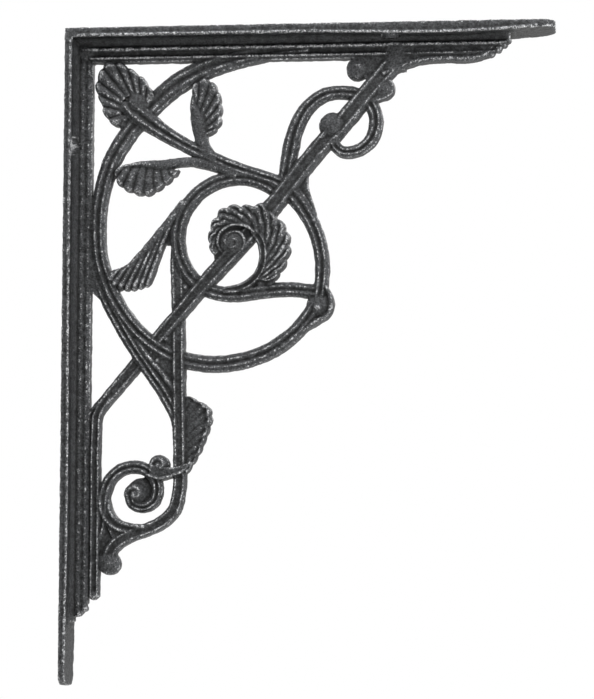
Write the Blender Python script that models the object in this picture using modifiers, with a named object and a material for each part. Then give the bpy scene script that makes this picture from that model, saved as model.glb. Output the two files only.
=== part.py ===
"""Shelf bracket, one sand casting in grey iron.

A wall plate and a shelf plate meet at a right angle. A moulded border runs under the shelf and
beside the wall, and open scrollwork with leaves fills the angle between them.
X runs out from the wall, Z is up, and the casting is the same on both sides of the plane Y = 0.
The origin is on the wall face, on its centreline, level with the upper screw holes.
Sizes named here are metres. The scrollwork is free form: it is drawn in a frame of its own, in
millimetres, as points (X out from the wall, Z from the shelf face), with an optional third value
that widens or narrows the bar there. The drawing is then fitted between the borders and the ends
of the plates.
"""
import math

import bmesh
import bpy
from mathutils import Vector

MM = 0.001

wall_height = 305 * MM
shelf_length = 228 * MM
plate_width = 24 * MM
wall_thickness = 3.4 * MM
shelf_thickness = 4.4 * MM
tongue_thickness = 3.0 * MM
wall_tongue_length = 26.4 * MM
shelf_tongue_length = 18.4 * MM
tongue_corner = 6 * MM
tongue_corner_steps = 4

drawn_corner = (12.0, -15.1)
drawn_ends = (228, -305)
drawn_crest = 4.0

screw_drop = 55 * MM
screw_reach = 152 * MM
screw_offset = 7.4 * MM
screw_bore = 5.2 * MM
screw_head = 8.6 * MM
head_seat = 2.2 * MM
head_clearance = 6 * MM

crest = 4.0 * MM
edge_share = 0.68
groove_share = 0.62
bead_share = 0.66
ridge_share = 0.45

border_edge = 3.1 * MM
border_crest = 4.6 * MM
cove_depth = 7.4 * MM
wall_bead_pitch = 3.7 * MM
shelf_bead_pitch = 4.8 * MM
bead_half_width = 1.3 * MM
overlap = 0.6 * MM
mitre_lap = 0.1 * MM
clear_of_border = 30 * MM

leaf_rim_share = 0.3
leaf_rise = 3.4
leaf_flute_share = 0.225
leaf_notch_share = 0.08
boss_steps = 12
screw_steps = 16
merge = 0.01 * MM
sliver = 0.005 * MM
flat_angle = math.radians(1.0)
seam_angle = math.radians(0.1)
triangle_goal = 9700
shading_angle = math.radians(35)


def height(below):
    """A height given from the shelf face, downwards as negative, from the origin instead."""
    return below + screw_drop


def rim_of(thickness, pitch):
    """How far a border's rim stands out from the back of its plate."""
    return thickness + pitch * 1.98 + bead_half_width * 0.95


def fitted(thing):
    """A shape of the scrollwork's drawing, fitted between the borders and the ends of the plates."""
    wall_rim = rim_of(wall_thickness, wall_bead_pitch)
    shelf_rim = rim_of(shelf_thickness, shelf_bead_pitch)
    corner_x, corner_z = drawn_corner
    end_x, end_z = drawn_ends
    wider = (shelf_length - wall_rim) / (end_x - corner_x)
    taller = (wall_height - shelf_rim) / (corner_z - end_z)
    deeper = crest / drawn_crest
    for vert in thing.data.vertices:
        x, y, z = vert.co / MM
        across = wall_rim + (x - corner_x) * wider
        down = shelf_rim + (corner_z - z) * taller
        vert.co = (across, y * deeper, height(-down))
    return thing


def clear_scene():
    for thing in list(bpy.data.objects):
        bpy.data.objects.remove(thing, do_unlink=True)
    for group in list(bpy.data.collections):
        bpy.data.collections.remove(group)


def collection(name):
    group = bpy.data.collections.new(name)
    bpy.context.scene.collection.children.link(group)
    return group


def place(mesh, name):
    """A guide object that holds one working shape."""
    thing = bpy.data.objects.new(name, mesh)
    guides.objects.link(thing)
    thing.hide_render = True
    thing.display_type = "WIRE"
    return thing


def finish(bm, name):
    """The working mesh as a guide object, welded and facing out."""
    bmesh.ops.remove_doubles(bm, verts=bm.verts, dist=merge)
    bmesh.ops.recalc_face_normals(bm, faces=bm.faces)
    mesh = bpy.data.meshes.new(name)
    bm.to_mesh(mesh)
    bm.free()
    return place(mesh, name)


def solid(thing, name):
    """A curve, or a mesh with modifiers, as a closed welded mesh in its place."""
    guides.objects.link(thing)
    bpy.context.view_layer.update()
    view = bpy.context.evaluated_depsgraph_get()
    mesh = bpy.data.meshes.new_from_object(thing.evaluated_get(view))
    mesh.transform(thing.matrix_world)
    bpy.data.objects.remove(thing)
    bm = bmesh.new()
    bm.from_mesh(mesh)
    bpy.data.meshes.remove(mesh)
    bmesh.ops.dissolve_limit(bm, angle_limit=seam_angle, verts=bm.verts, edges=bm.edges)
    return finish(bm, name)


def prism(name, outline, along, start, end):
    """A flat outline with thickness along X, Y or Z, from one plane to another."""
    curve = bpy.data.curves.new(name, "CURVE")
    curve.dimensions = "2D"
    curve.fill_mode = "BOTH"
    curve.extrude = (end - start) / 2
    spline = curve.splines.new("POLY")
    spline.points.add(len(outline) - 1)
    for point, (a, b) in zip(spline.points, outline):
        point.co = (a, b, 0, 1)
    spline.use_cyclic_u = True
    thing = bpy.data.objects.new(name, curve)
    middle = (start + end) / 2
    if along == "Y":
        thing.rotation_euler = (math.pi / 2, 0, 0)
        thing.location = (0, middle, 0)
    elif along == "X":
        thing.rotation_euler = (math.pi / 2, 0, math.pi / 2)
        thing.location = (middle, 0, 0)
    else:
        thing.location = (0, 0, middle)
    return solid(thing, name)


def bar_profile(name, width, top, ridges):
    """The cross-section of a bar: X across it, Y through its depth, the same on both faces."""
    half = width / 2
    if ridges == 2:
        front = [(-half, top * edge_share), (-half * bead_share, top), (0, top * groove_share),
                 (half * bead_share, top), (half, top * edge_share)]
    else:
        front = [(-half, top * edge_share), (-half * ridge_share, top * 0.9), (0, top),
                 (half * ridge_share, top * 0.9), (half, top * edge_share)]
    points = front + [(x, -y) for x, y in reversed(front)]
    curve = bpy.data.curves.new(name, "CURVE")
    curve.dimensions = "2D"
    spline = curve.splines.new("POLY")
    spline.points.add(len(points) - 1)
    for point, (x, y) in zip(spline.points, points):
        point.co = (x, y, 0, 1)
    spline.use_cyclic_u = True
    thing = bpy.data.objects.new(name, curve)
    guides.objects.link(thing)
    thing.hide_render = True
    thing.display_type = "WIRE"
    return thing


def bar(name, points, width, top, ridges=2, smooth=True, steps=2):
    """A beaded bar swept along hand-chosen points of the drawing."""
    profile = bar_profile(name + " profile", width * MM, top * MM, ridges)
    curve = bpy.data.curves.new(name, "CURVE")
    curve.dimensions = "2D"
    curve.fill_mode = "NONE"
    curve.bevel_mode = "OBJECT"
    curve.bevel_object = profile
    curve.use_fill_caps = True
    if smooth:
        curve.resolution_u = steps
        spline = curve.splines.new("BEZIER")
        spline.bezier_points.add(len(points) - 1)
        knots = spline.bezier_points
        for knot, point in zip(knots, points):
            knot.co = (point[0] * MM, point[1] * MM, 0)
            knot.radius = point[2] if len(point) > 2 else 1
            knot.handle_left_type = "AUTO"
            knot.handle_right_type = "AUTO"
    else:
        spline = curve.splines.new("POLY")
        spline.points.add(len(points) - 1)
        for knot, point in zip(spline.points, points):
            knot.co = (point[0] * MM, point[1] * MM, 0, 1)
            knot.radius = point[2] if len(point) > 2 else 1
    path = bpy.data.objects.new(name, curve)
    path.rotation_euler = (math.pi / 2, 0, 0)
    made = solid(path, name)
    bpy.data.objects.remove(profile)
    return made


def turned(name, chain, steps):
    """A profile of (radius, height) points from top to bottom, turned about Z by a Screw."""
    mesh = bpy.data.meshes.new(name)
    bm = bmesh.new()
    verts = [bm.verts.new((radius, 0, level)) for radius, level in chain]
    for pair in zip(verts, verts[1:]):
        bm.edges.new(pair)
    bm.to_mesh(mesh)
    bm.free()
    thing = bpy.data.objects.new(name, mesh)
    screw = thing.modifiers.new("turn", "SCREW")
    screw.steps = steps
    screw.render_steps = steps
    screw.use_merge_vertices = True
    screw.merge_threshold = merge
    return thing


def boss(name, centre, radius, top, hollow=0.0):
    """A round boss of the drawing, domed on both faces; hollow sinks a ring into each face."""
    outline = [(0, top), (0.35, top * (1 - hollow * 0.1)), (0.62, top * (1 - hollow * 0.35)),
               (0.84, top * (0.9 - hollow * 0.02)), (1.0, top * 0.5)]
    if hollow == 0:
        outline = [(0, top), (0.45, top * 0.93), (0.8, top * 0.75), (1.0, top * 0.4)]
    chain = outline + [(r, -y) for r, y in reversed(outline)]
    thing = turned(name, [(r * radius * MM, y * MM) for r, y in chain], boss_steps)
    thing.rotation_euler = (math.pi / 2, 0, 0)
    thing.location = (centre[0] * MM, 0, centre[1] * MM)
    return solid(thing, name)


def between(stations, angle):
    """The reach at an angle, along straight lines between the stations."""
    for (a, near), (b, far) in zip(stations, stations[1:]):
        if a <= angle <= b:
            return near + (far - near) * (angle - a) / (b - a)
    return stations[0][1] if angle < stations[0][0] else stations[-1][1]


def leaf(name, root, stations, lobes, heel=((0, 1.6),), top=leaf_rise, rings=4):
    """A fluted leaf that fans out from its root, with one scallop of the rim to each flute.

    Stations are pairs of an angle in degrees and a reach in millimetres, by rising angle;
    the heel is given the same way, and is where the leaf begins.
    """
    steps = lobes * 2
    first, last = stations[0][0], stations[-1][0]
    bm = bmesh.new()
    made = bmesh.ops.create_grid(bm, x_segments=steps, y_segments=rings, size=0.5)
    for vert in made["verts"]:
        share = vert.co.x + 0.5
        out = vert.co.y + 0.5
        angle = first + (last - first) * share
        reach = between(stations, angle)
        near = between(heel, angle)
        wave = 0.5 - 0.5 * math.cos(share * lobes * 2 * math.pi)
        reach *= 1 - leaf_notch_share * (1 - wave)
        r = near + (reach - near) * out
        swell = math.sin(math.pi * (0.35 + 0.5 * out))
        rim = drawn_crest * leaf_rim_share
        rise = rim + (top - rim) * swell + drawn_crest * leaf_flute_share * (wave - 0.5) * out
        turn = math.radians(angle)
        x, z = root[0] + r * math.cos(turn), root[1] + r * math.sin(turn)
        vert.co = (x * MM, -rise * MM, z * MM)
    copy = bmesh.ops.duplicate(bm, geom=bm.verts[:] + bm.edges[:] + bm.faces[:])
    back = [item for item in copy["geom"] if isinstance(item, bmesh.types.BMVert)]
    bmesh.ops.scale(bm, vec=(1, -1, 1), verts=back)
    rim = [edge for edge in bm.edges if len(edge.link_faces) == 1]
    bmesh.ops.bridge_loops(bm, edges=rim)
    return finish(bm, name)


def boolean(target, tool, operation):
    """The target joined with, cut by or kept inside the tool, which is then removed."""
    modifier = target.modifiers.new("join", "BOOLEAN")
    modifier.operation = operation
    modifier.solver = "EXACT"
    modifier.object = tool
    bpy.context.view_layer.update()
    view = bpy.context.evaluated_depsgraph_get()
    mesh = bpy.data.meshes.new_from_object(target.evaluated_get(view))
    target.modifiers.clear()
    old = target.data
    target.data = mesh
    bpy.data.meshes.remove(old)
    bpy.data.objects.remove(tool)
    return target


def plates():
    """The two plates as one bent strip, thinner and rounded in plan at both free ends."""
    top = height(0)
    foot = top - wall_height
    outline = [(0, top), (0, foot), (tongue_thickness, foot),
               (wall_thickness, foot + wall_tongue_length), (wall_thickness, top - shelf_thickness),
               (shelf_length - shelf_tongue_length, top - shelf_thickness),
               (shelf_length, top - tongue_thickness), (shelf_length, top)]
    strip = prism("plates", outline, "Y", -plate_width / 2, plate_width / 2)
    bm = bmesh.new()
    bm.from_mesh(strip.data)
    corners = []
    for edge in bm.edges:
        a, b = (vert.co for vert in edge.verts)
        if abs(a.y - b.y) > MM:
            continue
        if max(a.z, b.z) < foot + MM or min(a.x, b.x) > shelf_length - MM:
            corners.append(edge)
    bmesh.ops.bevel(bm, geom=corners, offset=tongue_corner, offset_type="OFFSET",
                    segments=tongue_corner_steps, profile=0.5, affect="EDGES", material=-1)
    bm.to_mesh(strip.data)
    bm.free()
    return strip


def border_section(thickness, pitch):
    """Half of the moulded border, from inside the plate: cove, bead, groove, bead, rim."""
    first = thickness + pitch
    second = first + pitch * 0.98
    rim = rim_of(thickness, pitch)
    return [(thickness - overlap, cove_depth), (thickness + 0.1 * MM, cove_depth),
            (thickness + pitch * 0.28, border_edge + 1.3 * MM),
            (first - bead_half_width, border_edge + 0.2 * MM), (first, border_crest),
            (first + bead_half_width, border_edge), (second - bead_half_width, border_edge - 0.2 * MM),
            (second, border_crest - 0.2 * MM), (rim, border_edge)]


def mitre(thing, keep_wall):
    """Trim a border at the line from the outer corner to the inner one."""
    wall_rim = rim_of(wall_thickness, wall_bead_pitch)
    shelf_rim = rim_of(shelf_thickness, shelf_bead_pitch)
    normal = Vector((shelf_rim, 0, wall_rim))
    slip = mitre_lap if keep_wall else -mitre_lap
    bm = bmesh.new()
    bm.from_mesh(thing.data)
    cut = bmesh.ops.bisect_plane(bm, geom=bm.verts[:] + bm.edges[:] + bm.faces[:],
                                 plane_co=(slip, 0, height(0)), plane_no=normal,
                                 clear_outer=keep_wall, clear_inner=not keep_wall)
    edges = [item for item in cut["geom_cut"] if isinstance(item, bmesh.types.BMEdge)]
    bmesh.ops.contextual_create(bm, geom=edges)
    bmesh.ops.recalc_face_normals(bm, faces=bm.faces)
    bm.to_mesh(thing.data)
    bm.free()


def stepped(name, border, outer, steps):
    """The part of a border inside an outline, whose free end goes down in small steps."""
    keep = prism(name + " steps", outer + steps, "Y", -clear_of_border, clear_of_border)
    boolean(border, keep, "INTERSECT")


def borders():
    """The moulded border along each plate, cut to its stepped outline and mitred in the corner."""
    far = clear_of_border
    top = height(0)
    wall_end = height(wall_tongue_length - wall_height)
    half = border_section(wall_thickness, wall_bead_pitch)
    outline = [(x, -y) for x, y in half] + [(x, y) for x, y in reversed(half)]
    wall = prism("wall border", outline, "Z", wall_end - MM, top)
    inset = bar("inset bead", [(14.6, -172), (14.9, -284)], 4.8, 4.2, 1, smooth=False)
    boolean(wall, fitted(inset), "UNION")
    steps = [(13.4, 13.2), (9.4, 11.3), (8.1, 11), (7.8, 7.2), (6.3, 6.2), (3.8, 4.9), (2, 3.1),
             (-0.2, 0)]
    steps = [(wall_thickness + x * MM, wall_end + z * MM) for x, z in steps]
    outer = [(-far, wall_end), (-far, top + MM), (far, top + MM), (far, steps[0][1] + MM)]
    stepped("wall border", wall, outer, steps)

    shelf_end = shelf_length - shelf_tongue_length
    half = border_section(shelf_thickness, shelf_bead_pitch)
    outline = [(-y, top - x) for x, y in half]
    outline += [(y, top - x) for x, y in reversed(half)]
    shelf = prism("shelf border", outline, "X", 0, shelf_end + MM)
    steps = [(0, 0.2), (-1.4, 2.2), (-3, 4.2), (-4.7, 6.2), (-7.5, 7.7), (-9.8, 10.1), (-11.4, 10.9),
             (-13.6, 11.2)]
    steps = [(shelf_end + x * MM, top - shelf_thickness - z * MM) for x, z in steps]
    outer = [(steps[-1][0] - MM, top - far), (-MM, top - far), (-MM, top + MM), (shelf_end, top + MM)]
    stepped("shelf border", shelf, outer, steps)
    mitre(wall, True)
    mitre(shelf, False)
    return [wall, shelf]


def scrollwork():
    """Every bar, boss and leaf of the open work, each a little apart from its neighbours in depth."""
    ring_centre = (80.7, -98.5)
    ring_radius = 28.3
    ring = []
    for step in range(12):
        turn = math.radians(43 + step * 17.4)
        ring.append((ring_centre[0] + ring_radius * math.cos(turn),
                     ring_centre[1] + ring_radius * math.sin(turn)))
    ring += [(72.5, -124.4), (81, -124.8), (92, -123.4), (104, -122.7), (117, -124)]
    shapes = [
        bar("great scroll", [(113, -9.6), (97, -10.9, 1.15), (80, -13.9, 1.3), (65, -18.5, 1.38),
                             (52, -25.2, 1.4), (38.8, -36.8, 1.32), (28.5, -49, 1.22),
                             (20.6, -62.5, 1.14), (16.2, -78, 1.06), (14.9, -93), (16.1, -108),
                             (20.9, -122.5), (28, -134.5), (37.5, -145), (50.5, -153.3, 1.05),
                             (66, -157.1, 1.1), (82, -156, 1.1), (96.5, -150.8, 1.08),
                             (109, -141.3, 1.05), (117.5, -130)], 7.0, 4.0),
        bar("inner ring", ring, 6.8, 3.85),
        bar("vine", [(24.5, -31.5, 0.5), (30, -37.6, 1.1), (39.5, -44.3, 1.3), (48, -50, 1.1),
                     (58, -55.8, 0.95), (68, -60.6, 0.95), (79, -65.4, 0.95), (90, -69.2, 0.95),
                     (99.5, -72.8), (107, -79.5, 1.35), (112.8, -87.8, 1.2), (117.8, -99, 1.1),
                     (119.9, -111, 1.1), (119.3, -122, 1.05), (117.8, -131)], 6.2, 3.75),
        bar("leaf stalk", [(24, -66.3, 0.6), (32, -64, 0.7), (42, -62.5, 0.85), (52, -62),
                           (62, -62.8), (71, -65.6), (80, -69, 0.9)], 4.8, 3.6, 1),
        bar("lower leaf stalk", [(55.4, -81.5, 0.8), (50.2, -88.5, 1), (44, -97.2, 1.3),
                                 (37.6, -106.5, 1)], 5.4, 3.5, 1),
        bar("hanging leaf stalk", [(64.4, -42, 0.7), (63.4, -49), (63.6, -58, 1.2)], 5.2,
            3.45, 1),
        bar("tall stem", [(53.4, -90, 0.9), (52.2, -104), (53.1, -155), (54.1, -205),
                          (53.7, -217), (51.3, -225.2), (46, -230.4), (38.4, -233.9),
                          (30, -237), (23.6, -241.6), (21, -248)], 6.2, 4.12),
        bar("side strand", [(14.6, -117, 0.8), (18.8, -126.5, 0.9), (24.5, -137), (32, -149.5),
                            (40, -161.3), (47.5, -172.5), (53, -182.5), (54, -192, 0.7)],
            5.8, 3.65),
        bar("strut", [(13.5, -180.8), (47, -141.2), (61, -124.6, 1.07), (84, -98.8, 1.33),
                      (100, -79.8, 1.3), (113, -63.2, 1.3), (126, -48, 1.3)],
            6.6, 4.3, smooth=False),
        bar("strut head", [(122, -53.8), (151.5, -18.8)], 9.0, 4.22, smooth=False),
        bar("knot", [(101.5, -75, 0.8), (103.2, -67, 1.05), (105.2, -56, 1.15), (107.8, -46.5, 1.1),
                     (113.3, -37.2), (121, -31.8, 0.95), (130, -30.8, 0.95), (138.3, -33, 0.95),
                     (143.4, -38.5), (144.8, -46), (142.2, -53.6, 0.95), (136, -58.3, 0.85),
                     (128.7, -58.5, 0.8), (124.8, -54, 0.8), (124.6, -48, 0.8)],
            6.6, 3.9),
        bar("centre curl", [(74, -123.6, 0.9), (82, -122.6), (88, -119.6), (92, -114.6), (93.7, -108),
                            (92.4, -101), (87.6, -95), (80.8, -92), (74, -93.9), (70.9, -99.6),
                            (73.2, -105), (78, -106.2, 0.9)], 5.4, 5.9),
        bar("foot scroll", [(19, -237, 0.9), (18.5, -226), (19.2, -216.5), (22.8, -209.2),
                            (29, -205.2), (36, -205.1), (41.6, -208.8, 0.95), (43.9, -215, 0.9),
                            (42, -221.2, 0.85), (36.8, -223.6, 0.8), (32, -221.6, 0.8),
                            (31, -217.5, 0.8)], 6.0, 4.05),
        bar("under bead", [(148, -21.5), (154, -19.4), (161, -16.6), (169, -15.5), (180, -15.2),
                           (190, -15.1), (196.5, -13.4, 0.8)], 4.2, 4.4, 1),
        boss("knot bud", (124.4, -46.6), 6.4, 5.4),
        boss("side bud", (119, -130.6), 6.8, 4.9, 1),
        boss("side bud heel", (117.2, -135.8), 3.0, 3.6),
        boss("foot bud", (21.8, -249.3), 5.4, 4.6, 1),
        boss("head bud", (136.2, -20.0), 5.4, 4.7, 1),
        boss("head bud right", (148.3, -29.5), 5.6, 4.75, 1),
        boss("stem bud", (45.0, -204.8), 5.3, 4.35),
        boss("foot eye", (33.2, -217.2), 5.0, 4.5),
        boss("foot web", (36.8, -217.2), 7.6, 2.1),
        boss("curl eye", (77.3, -100.1), 4.8, 6.3),
        boss("curl web", (78.4, -99.0), 7.6, 4.9),
        leaf("corner leaf", (29.5, -36.5), [(30, 13), (44, 13.2), (62, 15.2), (82, 17.4), (101, 22.4),
                                            (115, 24.4), (127, 24.6), (148, 20.4), (163, 16.8),
                                            (183, 14), (216, 11.2), (240, 10.7)], 9),
        leaf("upper leaf", (51, -62.6), [(182, 26), (192, 29.5), (199, 30.8), (206, 28), (214, 25.4),
                                         (222, 21.8), (232, 17.8), (243, 13.2), (256, 8.6), (285, 4.4)], 8),
        leaf("lower leaf", (46.2, -95.5), [(223, 26), (229, 34.4), (237, 32.4), (243, 30.4),
                                           (249, 27.2), (256, 14.6)], 4, rings=5),
        leaf("lower leaf lobe", (34, -111.6), [(178, 7.5), (183, 12.9), (196, 13.2), (212, 12.6),
                                               (228, 14), (240, 11)], 2, top=3.2),
        leaf("hanging leaf", (63.6, -52.5), [(34, 8.8), (46, 13.8), (56, 17), (68, 22.4), (78, 27),
                                             (85, 31), (93, 29.6), (100, 25.8), (108, 21),
                                             (122, 14.2), (136, 8)], 6, rings=5),
        leaf("stem leaf", (55, -207.5), [(38, 5.2), (50, 9.4), (57, 18.6), (62, 27.8), (67, 32.8),
                                         (76, 34.4), (90, 35.4)], 5, heel=((0, 3),), rings=5),
        leaf("shell", (77.4, -99.6), [(-52, 25.5), (-44, 27.3), (-30, 28.4), (-20, 29), (-10, 28),
                                      (5, 28), (20, 26.6), (30, 25.8), (50, 25), (58, 21),
                                      (64, 18.2), (84, 17.6), (108, 16.2), (126, 13.6), (152, 12.6),
                                      (180, 11.6), (205, 11.6)], 13,
             heel=((-52, 18.5), (-20, 16.5), (0, 13.6), (30, 10.5), (60, 7.5), (205, 5.5)),
             top=5.3),
    ]
    return shapes


def webs():
    """The block at the head of the strut, and the sunk iron that closes the narrow corners."""
    fills = [("haunch", 3.5, [(140, -12), (161, -12), (160.6, -18), (155.6, -21.2), (152.4, -23.4),
                              (143, -25)]),
             ("strand fill", 2.05, [(40, -147.4), (50, -136.8), (54, -138), (54, -178), (38.5, -155)]),
             ("ring fill", 2.1, [(52, -98), (55, -114), (66, -119), (53, -133)]),
             ("notch fill", 2.15, [(47.2, -98.5), (46.8, -101.4), (49.6, -101), (53, -90), (48, -92)]),
             ("side fill", 2.25, [(105, -73), (110, -66), (113.6, -67.4), (113, -74), (115, -80.6),
                                  (117.4, -88), (110, -84)]),
             ("foot fill", 2.2, [(13, -214), (21, -216), (23, -224.5), (28, -230), (36, -231.8),
                                 (44, -230.6), (38, -235), (24, -241), (13, -246)])]
    shapes = []
    for name, half, outline in fills:
        corners = [(x * MM, z * MM) for x, z in outline]
        shapes.append(prism(name, corners, "Y", -half * MM, half * MM))
    return shapes


def joined(shapes):
    """One shape from several that overlap."""
    whole = shapes[0]
    for shape in shapes[1:]:
        boolean(whole, shape, "UNION")
    return whole


def screw_cutter(name, seat, lead, side):
    """A bore through a plate, opening into a countersink and a clear way for the screw's head."""
    levels = [(-head_clearance, screw_bore / 2), (head_seat - (screw_head - screw_bore) / 2, screw_bore / 2),
              (head_seat, screw_head / 2), (head_clearance, screw_head / 2)]
    chain = [(0, levels[0][0])] + [(radius, level) for level, radius in levels]
    chain.append((0, levels[-1][0]))
    thing = turned(name, list(reversed(chain)), screw_steps)
    thing.rotation_mode = "QUATERNION"
    thing.rotation_quaternion = Vector(lead).to_track_quat("Z", "Y")
    thing.location = Vector(seat) + Vector((0, side * screw_offset, 0))
    return solid(thing, name)


def tidy(thing):
    """Flat neighbours merged and the least needed edges gone, where the joins left too many."""
    bm = bmesh.new()
    bm.from_mesh(thing.data)
    bmesh.ops.dissolve_degenerate(bm, edges=bm.edges, dist=sliver)
    bmesh.ops.dissolve_limit(bm, angle_limit=flat_angle, use_dissolve_boundaries=False,
                             verts=bm.verts, edges=bm.edges)
    bmesh.ops.triangulate(bm, faces=bm.faces)
    count = len(bm.faces)
    bm.to_mesh(thing.data)
    bm.free()
    modifier = thing.modifiers.new("fewer", "DECIMATE")
    modifier.ratio = min(1.0, triangle_goal / count)
    modifier.use_symmetry = True
    modifier.symmetry_axis = "Y"
    bpy.context.view_layer.update()
    view = bpy.context.evaluated_depsgraph_get()
    mesh = bpy.data.meshes.new_from_object(thing.evaluated_get(view))
    thing.modifiers.clear()
    old = thing.data
    thing.data = mesh
    bpy.data.meshes.remove(old)


def iron():
    material = bpy.data.materials.new("grey cast iron")
    material.use_nodes = True
    shader = material.node_tree.nodes["Principled BSDF"]
    shader.inputs["Base Color"].default_value = (0.045, 0.046, 0.048, 1)
    shader.inputs["Metallic"].default_value = 0.7
    shader.inputs["Roughness"].default_value = 0.5
    material.diffuse_color = (0.16, 0.16, 0.17, 1)
    return material


clear_scene()
home = collection("bracket")
guides = collection("guides")
guides.hide_render = True
ornament = fitted(joined(webs() + scrollwork()))
bracket = joined([plates()] + borders() + [ornament])
for side in (-1, 1):
    wall_seat = (0, 0, height(-screw_drop))
    boolean(bracket, screw_cutter("wall screw", wall_seat, (1, 0, 0), side), "DIFFERENCE")
    shelf_seat = (screw_reach, 0, height(0))
    boolean(bracket, screw_cutter("shelf screw", shelf_seat, (0, 0, -1), side), "DIFFERENCE")
tidy(bracket)
guides.objects.unlink(bracket)
home.objects.link(bracket)
bracket.name = "bracket"
bracket.data.name = "bracket"
bracket.data.shade_smooth()
bracket.data.set_sharp_from_angle(angle=shading_angle)
bracket.hide_render = False
bracket.display_type = "TEXTURED"
bracket.data.materials.clear()
bracket.data.materials.append(iron())
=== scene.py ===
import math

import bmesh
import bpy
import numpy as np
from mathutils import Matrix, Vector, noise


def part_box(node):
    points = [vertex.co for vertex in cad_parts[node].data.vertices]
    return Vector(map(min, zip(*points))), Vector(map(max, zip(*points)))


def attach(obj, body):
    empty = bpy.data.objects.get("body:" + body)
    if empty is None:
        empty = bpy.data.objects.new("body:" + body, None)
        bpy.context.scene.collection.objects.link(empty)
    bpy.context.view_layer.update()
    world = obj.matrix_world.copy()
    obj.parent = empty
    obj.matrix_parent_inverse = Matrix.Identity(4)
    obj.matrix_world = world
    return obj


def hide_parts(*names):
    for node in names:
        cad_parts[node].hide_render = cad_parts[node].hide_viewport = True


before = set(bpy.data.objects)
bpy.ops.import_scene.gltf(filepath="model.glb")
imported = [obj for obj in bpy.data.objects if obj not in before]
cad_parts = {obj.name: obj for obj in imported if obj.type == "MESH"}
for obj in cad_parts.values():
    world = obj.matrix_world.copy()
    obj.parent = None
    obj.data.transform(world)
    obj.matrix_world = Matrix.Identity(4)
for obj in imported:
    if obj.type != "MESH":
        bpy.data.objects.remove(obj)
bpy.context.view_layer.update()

# Shelf bracket, sand cast in grey iron and black-leaded: its fine surface, finish, light and camera.
#
# The scrollwork is drawn in millimetres as points (X out from the wall, Z from the shelf face). A
# bar's point may have a third value, the share of the bar's full width there, and a fourth, its height
# there above the middle plane. Both faces of the bracket are alike.

MM = 0.001
low, high = (Vector(corner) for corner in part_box("bracket"))

# The plates, as the frame has them, and the sizes that the frame doesn't name
wall_height = (high.z - low.z) / MM
shelf_length = (high.x - low.x) / MM
plate_width = (high.y - low.y) / MM
wall_thickness = 3.4
shelf_thickness = 4.4
tongue_thickness = 3.0
wall_tongue_length = 26.4
shelf_tongue_length = 18.4
tongue_corner = 6.0

# The screw holes: one on each side of the web, countersunk from inside; the seat is measured from
# the mounting face, and the clearance is how far the cutter reaches to either side of that face
screw_drop = 55.0
screw_reach = 152.0
screw_offset = 7.4
screw_bore = 5.2
screw_head = 8.6
head_seat = 2.2
head_clearance = 6.3

# The bright ring round each screw hole: a painted highlight that stands in for the glint in its
# countersink
glint_margin = 0.1
glint_start = 0.4
glint_depth = 1.0
glint_relief = 1.1
glint_hollow = 1.0

# The moulded border, from the plate out: cove, broad bead, fine bead, low ledge
cove_depth = 7.4
cove_root = 1.2
border_edge = 3.0
wall_bead_pitch = 3.7
shelf_bead_pitch = 4.8
wall_bead_relief = 0.55
shelf_bead_relief = 2.0
bead_half_width = 1.2
fine_bead_share = 0.7
fine_bead_relief = 0.8
fine_bead_pitches = 0.86
ledge_relief = 0.25
rim_pitches = 1.98
rim_share = 0.85
mitre_lead = 20
mitre_lap = 0.1

# The fine bead along the inner edge of each plate
edge_bead_width = 1.4
edge_bead_inset = 0.9
wall_edge_rise = 0.4
shelf_edge_rise = 0.6

# The bars' and the leaves' outer edges, and how far a bud's furrow turns on its way out
bar_edge_share = 0.46
leaf_edge_height = 0.6
curl_turn = 7.5

# How finely the shapes are cut before they run together
curve_spacing = 0.5
bar_strips = 28
leaf_strips = 26
lobe_steps = 14
boss_segments = 48
boss_rings = 24
cove_steps = 8
bead_spacing = 0.12
bead_gap = 0.01
tongue_corner_steps = 10
screw_steps = 48
merge_distance = 0.001

# The casting's skin. The pebbles are drawn coarser than the mould's sand, as fine as the skin carries
voxel = 0.36
ripple_size = 3.2
ripple_height = 0.24
pebble_size = 1.2
pebble_height = 0.12
pebble_shift = 40
triangle_goal = 192000

# The finish's patterns. Sand grit is about 0.25 mm and a rubbed grain about 0.3 mm; both are drawn
# three times as coarse, so that they show in the render. The clouds are as large as a cloth's strokes
grit_size = 0.75
grain_size = 0.95
cloud_size = 9
grit_bump = 0.6

# The floor, in metres
floor_reach = 4
floor_drop = 0.42


def add_shape(casting, bm):
    """Put a finished bmesh among the casting's other shapes."""
    bmesh.ops.recalc_face_normals(bm, faces=bm.faces)
    mesh = bpy.data.meshes.new("shape")
    bm.to_mesh(mesh)
    bm.free()
    casting.from_mesh(mesh)
    bpy.data.meshes.remove(mesh)


def both_faces(casting, bm):
    """Close a front surface with its mirror image at the back and a wall round the edge."""
    copy = bmesh.ops.duplicate(bm, geom=bm.verts[:] + bm.edges[:] + bm.faces[:])
    back = [item for item in copy["geom"] if isinstance(item, bmesh.types.BMVert)]
    bmesh.ops.scale(bm, vec=(1, -1, 1), verts=back)
    edge = [item for item in bm.edges if len(item.link_faces) == 1]
    bmesh.ops.bridge_loops(bm, edges=edge)
    add_shape(casting, bm)


def pushed(outline, step):
    """A solid made of a flat outline pushed along by a step."""
    bm = bmesh.new()
    face = bm.faces.new([bm.verts.new(corner) for corner in outline])
    made = bmesh.ops.extrude_face_region(bm, geom=[face])
    moved = [item for item in made["geom"] if isinstance(item, bmesh.types.BMVert)]
    bmesh.ops.translate(bm, vec=step, verts=moved)
    return bm


def web(casting, outline, half):
    """A flat web with this outline of (X, Z) points, going as far as half to each side."""
    add_shape(casting, pushed([(x, -half, z) for x, z in outline], (0, 2 * half, 0)))


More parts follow.
